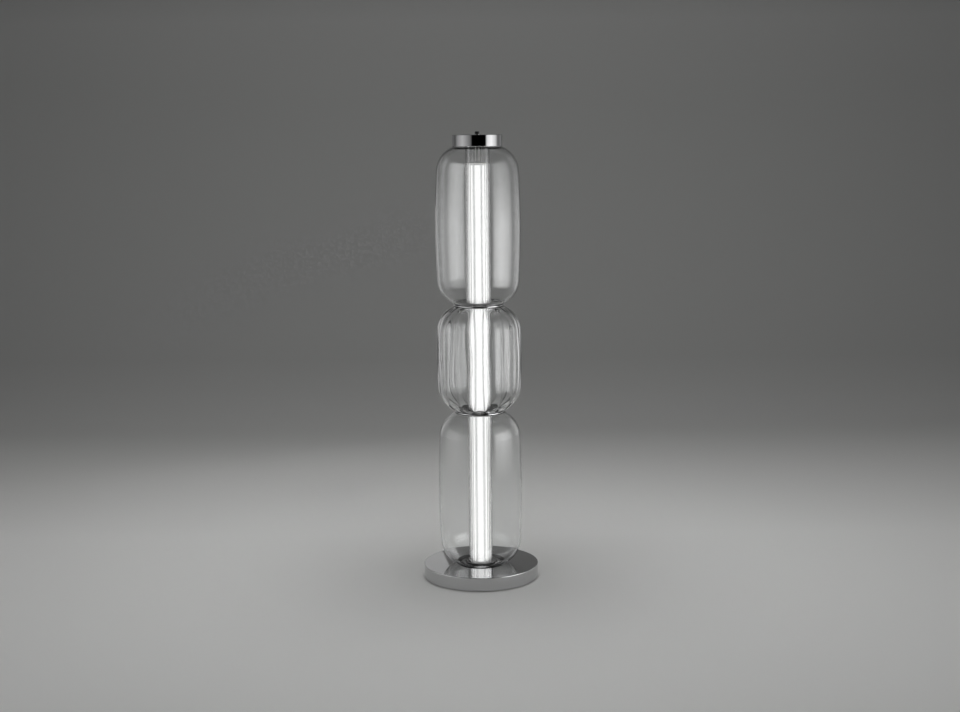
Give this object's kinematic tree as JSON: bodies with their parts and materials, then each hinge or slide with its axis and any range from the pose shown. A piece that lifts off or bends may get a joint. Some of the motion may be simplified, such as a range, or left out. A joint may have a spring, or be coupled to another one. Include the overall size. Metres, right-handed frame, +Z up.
{
  "type": "totem floor lamp",
  "caption": "Totem floor lamp: clear blown glasses stacked on a round polished chrome base round a reeded light column, under a chrome cap with a screwed finial.",
  "frame": {"origin": "on the floor under the middle of the round base", "axes": "+Z up along the threaded tube, -Y towards the viewer, +Y towards the cord inlet"},
  "size_m": [0.3, 0.3, 1.1608],
  "materials": {
    "rubber_black": "matt moulded rubber",
    "gasket_silicone": "moulded black silicone",
    "steel_plate": "black lacquered steel sheet",
    "steel_zinc": "zinc plated steel",
    "cast_weight": "raw cast iron",
    "chrome_polished": "mirror polished chrome plate on steel",
    "finial_black": "black nickel plate on brass",
    "foot_anodised": "black anodised aluminium",
    "chrome_hidden": "chrome plate",
    "driver_case": "white polycarbonate case",
    "terminal_nylon": "natural nylon",
    "lead_sheath": "white insulated lead",
    "clear_glass": "clear blown glass",
    "ribbed_glass": "clear mould-blown ribbed glass",
    "clear_acrylic": "clear reeded acrylic tube",
    "opal_acrylic": "satin acrylic, lit from inside",
    "opal_plug": "white plastic",
    "core_aluminium": "extruded aluminium",
    "led_strip": "light strip under a moulded opal lens"
  },
  "bodies": {
    "lamp": {"foot_ring": "rubber_black", "base_plate": "steel_plate", "base_plate_screws": "steel_zinc", "base_weight": "cast_weight", "base_cover": "chrome_polished", "cable_gland": "rubber_black", "led_driver": "driver_case", "driver_screws": "steel_zinc", "terminal_block": "terminal_nylon", "mains_leads": "lead_sheath", "tie_tube": "steel_zinc", "tube_foot_washer": "steel_zinc", "tube_foot_nut": "steel_zinc", "led_leads": "lead_sheath", "column_foot": "foot_anodised", "column_foot_nut": "steel_zinc", "lower_foot_gasket": "gasket_silicone", "lower_glass": "clear_glass", "lower_head_gasket": "gasket_silicone", "lower_reeded_tube": "clear_acrylic", "lower_diffuser": "opal_acrylic", "lower_led_core": "core_aluminium", "lower_led_strips": "led_strip", "lower_joint_disc": "chrome_polished", "middle_foot_gasket": "gasket_silicone", "middle_glass": "ribbed_glass", "middle_head_gasket": "gasket_silicone", "middle_reeded_tube": "clear_acrylic", "middle_diffuser": "opal_acrylic", "middle_led_core": "core_aluminium", "middle_led_strips": "led_strip", "upper_joint_disc": "chrome_polished", "upper_foot_gasket": "gasket_silicone", "upper_glass": "clear_glass", "upper_head_gasket": "gasket_silicone", "upper_reeded_tube": "clear_acrylic", "upper_diffuser": "opal_acrylic", "upper_led_core": "core_aluminium", "upper_led_strips": "led_strip", "upper_diffuser_plug": "opal_plug", "seat_plate": "chrome_hidden", "clamp_washer": "steel_zinc", "clamp_nut": "steel_zinc", "top_cap": "chrome_polished"},
    "captive_washer": {"finial_washer": "chrome_polished"},
    "finial": {"finial": "finial_black"}
  },
  "joints": [
    {"name": "finial_rise", "type": "slide", "parent": "lamp", "child": "captive_washer", "axis": [0, 0, 1], "range_m": [0, 0.006]},
    {"name": "finial_turn", "type": "hinge", "parent": "captive_washer", "child": "finial", "pos_m": [0, 0, 1.157], "axis": [0, 0, 1], "range_deg": [0, 2160]}
  ],
  "couplings": [
    {"joint": "finial_rise", "follows": "finial_turn", "m_per_rad": 0.00015915}
  ]
}
